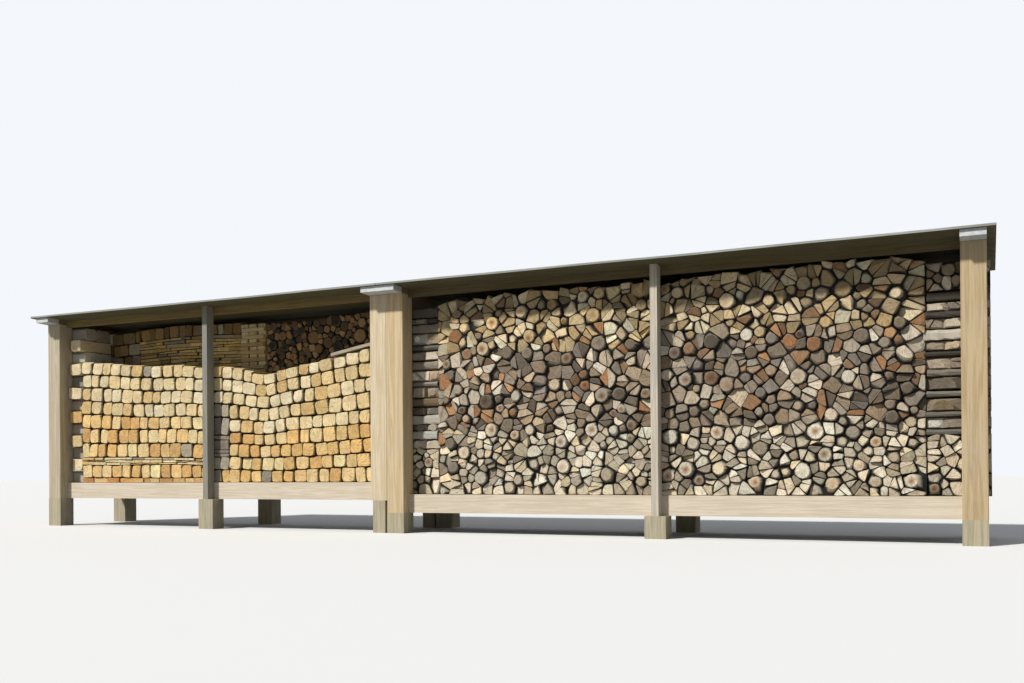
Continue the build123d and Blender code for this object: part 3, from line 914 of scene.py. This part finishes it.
pile = Pile(41, "left_end_crib")
rng, low, high = pile.rng, pile.low, pile.high
tie_low, tie_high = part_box("left_frame_left_tie_plank")
post_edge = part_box("left_frame_left_front_post")[1][0]
stack_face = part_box("bay_1_front_stack")[0][1]
depth = (high[1] - low[1]) / 2 - TOWER_GAP
for start in (low[1], high[1] - depth):
    front = start == low[1]
    tower_top = tie_low[2] + (tie_high[1] - start - depth) * tan(ROOF_FALL) - TIE_CLEARANCE
    height = (tower_top - low[2]) / BLOCK_LAYERS
    for layer in range(BLOCK_LAYERS):
        lengthwise = layer % 2 == 0
        if lengthwise:
            spans = shares(rng, start, depth, 2)
        else:
            split = post_edge + rng.uniform(0.004, 0.04)
            spans = [(low[0], split), (split, high[0])]
        for left, right in spans:
            z = low[2] + layer * height
            room = room_of(left, right, z, z + height)
            if lengthwise:
                # The front tower's greys are painted light; the back tower's darker tones are painted shade
                tones = PAINTED_LIGHT_GREY_TONES if front else PAINTED_LIGHT_GREY_TONES[:3] + SHELTERED_SHADE_TONES
                tone = pick_tone(rng, tones, 0.2)
                lay_block(pile, room, low[0] + rng.uniform(0, 0.02), high[0] - rng.uniform(0, 0.015), tone,
                          rng.uniform(0.0005, 0.002), (0.06, 0.2), axis="X")
            else:
                # The back tower's ends take the darker sheltered tones, painted shade under the roof
                tone = pick_tone(rng, (BLOCK_TONES if front else SHELTERED_SHADE_TONES) + HONEY_TONES, 0.12)
                near = (stack_face if front and left > post_edge else start) + rng.uniform(0, 0.02)
                lay_block(pile, room, near, start + depth - rng.uniform(0.001, 0.012), tone,
                          rng.uniform(0.001, 0.004), (0.1, 0.32), askew=0.03)
pile.build()

# Middle and right cribs: towers of weathered split logs at the ends of the stacks, where each
# layer crosses the one below, so that they stand by themselves.
CRIB_TONES = "#77736A #9B9488 #59544B #D3CCBD #49443C #7D6C50".split()
CRIB_LOG_SIZE = 0.0665
MIDDLE_CRIB_LOG_SIZE = 0.075
CRIB_LOG_ROOM = 0.0058
UNEVEN = 0.26             # of the height of a layer
crib_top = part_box("right_end_crib")[1][2]


def half_round(rng, room):
    # A half log that lies on its flat side
    height = room[3].y - room[0].y
    middle = (room[0] + room[1]) / 2
    radius = min((room[1].x - room[0].x) / 2, height)
    domed = [Vector((point.x, middle.y + (point.y - middle.y) * height / radius))
             for point in round_log(rng, middle, radius)]
    return inset(join_near(clip(domed, Vector((0, -1)), -middle.y)), 0.002)


def crib(seed, node, size, end_tones, inner, long_layers):
    # The layers jut out a little at the inner end, where the stack stands. Above and below its long
    # layers a tower has only cross logs, laid as in a stack
    pile = Pile(seed, node)
    rng, low, high = pile.rng, pile.low, pile.high
    depth = (high[1] - low[1]) / 2 - TOWER_GAP
    layers = round((crib_top - low[2]) / size)
    for start in (low[1], high[1] - depth):
        pile.row = (start, start + depth)
        joints = [low[2] + size * (layer + (rng.uniform(-UNEVEN, UNEVEN) if 0 < layer < layers else 0))
                  for layer in range(layers + 1)]
        # The back tower takes the darker sheltered tones, painted shade under the roof
        end_tones = end_tones if start == low[1] else SHELTERED_SHADE_TONES
        for below, above in ((0, long_layers.start), (long_layers.stop, layers)):
            if below < above:
                level = joints[above] + (0 if above == layers else 0.02)
                area = (low[0], high[0], joints[below], lambda x: level)
                rounds = pack_logs(rng, [], area, (0.04, 0.03), "round", 1.1)
                lay_split(pile, area, rounds,
                          lambda z: pick_tone(rng, FOOT_TONES if z < MIDDLE_FROM else end_tones, 0.25),
                          CRIB_LOG_ROOM, 0.3)
        for layer in range(long_layers.start, min(long_layers.stop, layers)):
            jut = rng.uniform(0, 0.035)
            west = low[0] - (jut if inner == "west" else 0)
            east = high[0] + (jut if inner == "east" else 0)
            lengthwise = layer % 2 == 0
            count = 3 if lengthwise else 3 - rng.choice((0, 0, 1))
            first, extent = (start, depth) if lengthwise else (west, east - west)
            for left, right in shares(rng, first, extent, count):
                room = room_of(left, right, joints[layer], joints[layer + 1])
                tone = pick_tone(rng, CRIB_TONES if lengthwise else end_tones, 0.3)
                if lengthwise:
                    outer = left < low[1] + 0.01 or right > high[1] - 0.01
                    cut = inset(room, rng.uniform(0.002, 0.011) if outer else 0.0003)
                    outline = soften(cut, [size * rng.uniform(0.15, 0.45) if outer else 0.001 for _ in cut],
                                     [2] * 4)
                    pile.add_log(outline, west + rng.uniform(0, 0.012), east - rng.uniform(0, 0.012), tone,
                                 middle_of(outline), rng.choice((BARK_SIDE, SPLIT_SIDE)), axis="X",
                                 bumps=8 if outer else 0)
                    continue
                kind = rng.random()
                for part in halve(rng, room, 0.7) if kind < 0.25 else [room]:
                    outline, cell, pith, side = split_log(rng, part, (3, 4))
                    if 0.25 < kind < 0.75:
                        outline = (round_log(rng, middle_of(part), min(right - left, size) * 0.46)
                                   if kind < 0.45 else half_round(rng, room))
                        cell, pith = spread(outline, part), middle_of(part)
                    outline = shrink(outline, rng.uniform(0.86, 1))
                    pile.add_log(outline, start + rng.uniform(0, 0.034), start + depth - 0.004, tone, pith,
                                 side, tilt=0.12, cell=cell)
    pile.build()


crib(42, "middle_crib", MIDDLE_CRIB_LOG_SIZE, MIDDLE_TONES + CRIB_TONES, "east", range(5, 99))
crib(43, "right_end_crib", CRIB_LOG_SIZE, MIDDLE_TONES + CRIB_TONES[2:], "west", range(6, 21))

# Leaning board: a thin grey offcut that lies on the rising end of the second stack.
dress(timber("silvered_offcut", "#B5AA98", "#8A7F6E", "X"), ["leaning_board"])

# Studio: a wide pale floor, a sun lamp from the upper left and an even pale sky.
FLOOR = "#DCDEE1"
FLOOR_UNSEEN = "#8C8C89"      # a duller floor throws less light up under the roof
SKY = "#F4F7FB"
SKY_STRENGTH = 0.30
SUN_COLOUR = (1, 0.965, 0.90)
SUN_ANGLE = radians(4)
SUN_DIRECTION = Vector((0.089, 0.15, -0.17))
SUN_STRENGTH = 4.3


def seen_directly(add):
    # 1 for rays from the camera, a mirror or glass, and 0 for rays that only carry light
    path = add("LightPath")
    both = add("Math MAXIMUM", {}, {0: path.outputs["Is Glossy Ray"], 1: path.outputs["Is Transmission Ray"]})
    return add("Math MAXIMUM", {}, {0: path.outputs["Is Camera Ray"], 1: both})


bpy.ops.mesh.primitive_plane_add(size=120, location=(0, 0, 0))
ground = bpy.context.active_object
ground.name = "studio_floor"
matt, add = new_material("studio_floor_paint")
paint = add("Mix RGBA", {6: linear(FLOOR_UNSEEN), 7: linear(FLOOR)}, seen_directly(add))
floor_shader = add("BsdfPrincipled", {"Roughness": 0.95}, {"Base Color": paint.outputs[2]})
add("OutputMaterial", {}, floor_shader)
ground.data.materials.append(matt)

bpy.ops.object.light_add(type="SUN", location=(-6, -8, 9))
sun = bpy.context.active_object
sun.rotation_euler = SUN_DIRECTION.to_track_quat("-Z", "Y").to_euler()
sun.data.energy = SUN_STRENGTH
sun.data.angle = SUN_ANGLE
sun.data.color = SUN_COLOUR

world = bpy.data.worlds.new("studio_sky")
bpy.context.scene.world = world
world.use_nodes = True
world.node_tree.nodes.clear()
add = partial(add_node, world.node_tree)
seen = add("MapRange", {"To": (SKY_STRENGTH, 1)}, seen_directly(add))
backdrop = add("Background", {"Color": linear(SKY)}, {"Strength": seen})
add("OutputWorld", {}, backdrop)

# Camera: low in front of the right end post and turned to the left, as in the photograph.
CAMERA_PLACE = (4.263, -7.872, 0.519)
CAMERA_YAW = 0.43435
CAMERA_PITCH = 0.003
CAMERA_ROLL = -0.00711
FOCAL_PIXELS = 1027.74
IMAGE_WIDTH = 1024
SHIFT_PIXELS = 125.65
camera_data = bpy.data.cameras.new("view_camera")
camera = bpy.data.objects.new("view_camera", camera_data)
bpy.context.collection.objects.link(camera)
camera.matrix_world = (Matrix.Translation(CAMERA_PLACE) @ Matrix.Rotation(CAMERA_YAW, 4, "Z")
                       @ Matrix.Rotation(pi / 2 + CAMERA_PITCH, 4, "X") @ Matrix.Rotation(CAMERA_ROLL, 4, "Z"))
camera_data.sensor_width = 36
camera_data.lens = FOCAL_PIXELS / IMAGE_WIDTH * camera_data.sensor_width
camera_data.shift_y = SHIFT_PIXELS / IMAGE_WIDTH
camera_data.clip_end = 300
bpy.context.scene.camera = camera
bpy.context.scene.view_settings.view_transform = "Standard"
